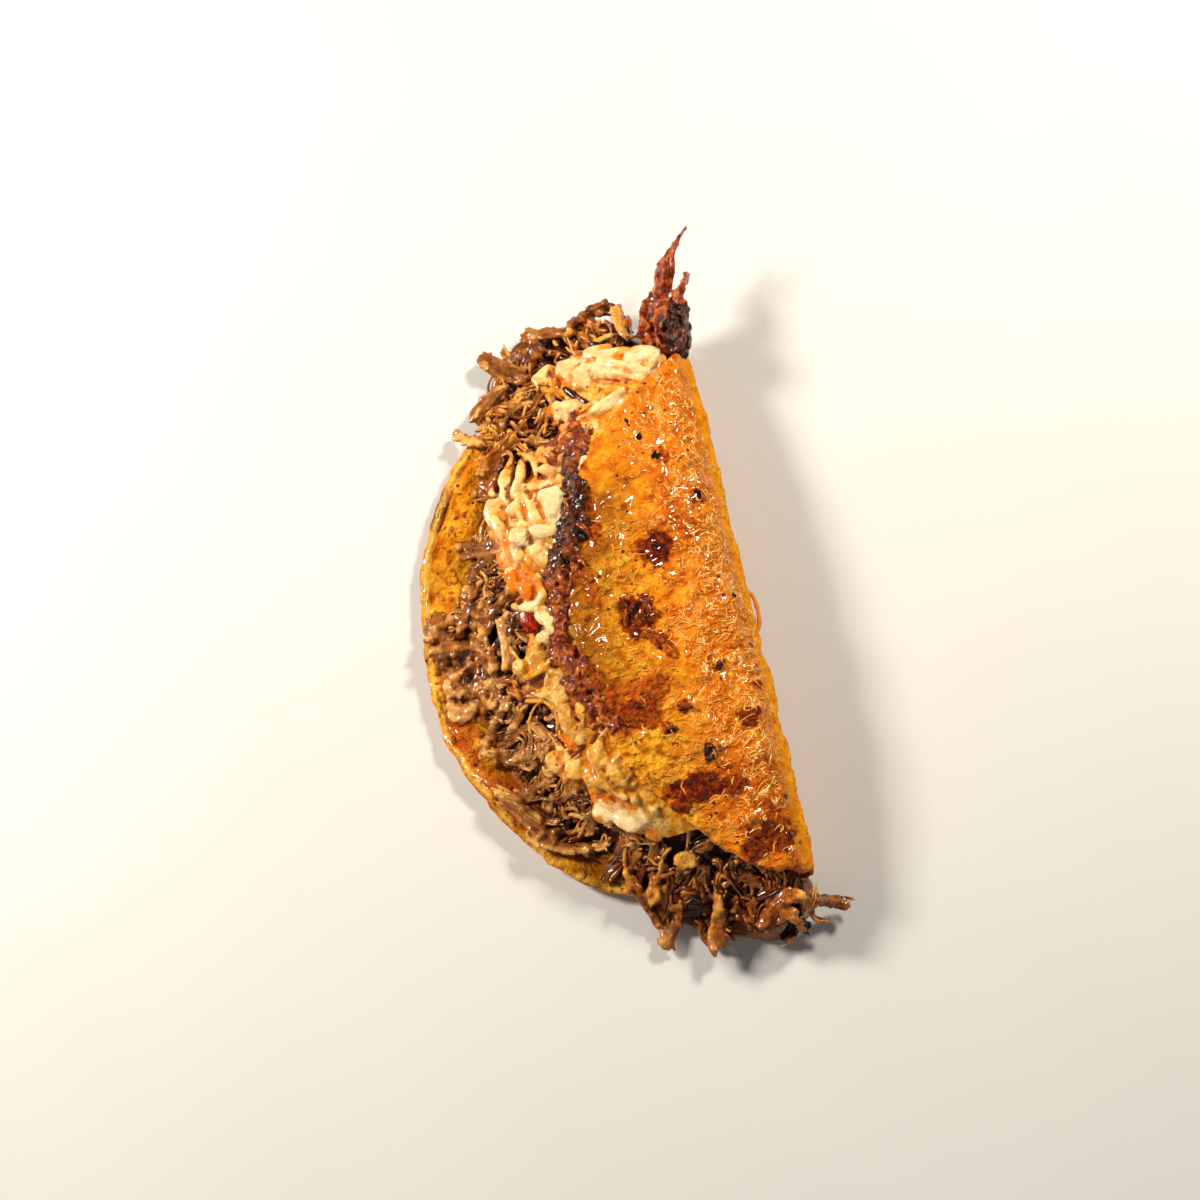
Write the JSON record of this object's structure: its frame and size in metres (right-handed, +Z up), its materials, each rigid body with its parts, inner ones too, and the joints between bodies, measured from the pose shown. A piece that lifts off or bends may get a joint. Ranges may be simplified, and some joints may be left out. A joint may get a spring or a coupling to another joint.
{
  "type": "folded quesadilla",
  "caption": "Fried corn tortilla folded over melted cheese and shredded beef that spill out of its open edge, with a browned rim and a crisped strand at one end.",
  "frame": {"origin": "middle of the part's footprint, on the surface that it rests on", "axes": "+Y along the fold, towards the end with the crisped strand; -X towards the open mouth; +Z up"},
  "size_m": [0.0914, 0.1862, 0.0298],
  "materials": {
    "tortilla": "fried corn tortilla, oily, blistered and spotted brown",
    "cheese": "melted cream-yellow cheese, glossy, with a dark browned rim",
    "beef": "braised shredded beef, fibrous and wet with fat",
    "crisped_end": "charred and fried crisp, dark red-brown, glossy"
  },
  "bodies": {
    "root": {"tortilla": "tortilla", "cheese": "cheese", "beef": "beef", "crisped_end": "crisped_end"}
  },
  "joints": []
}
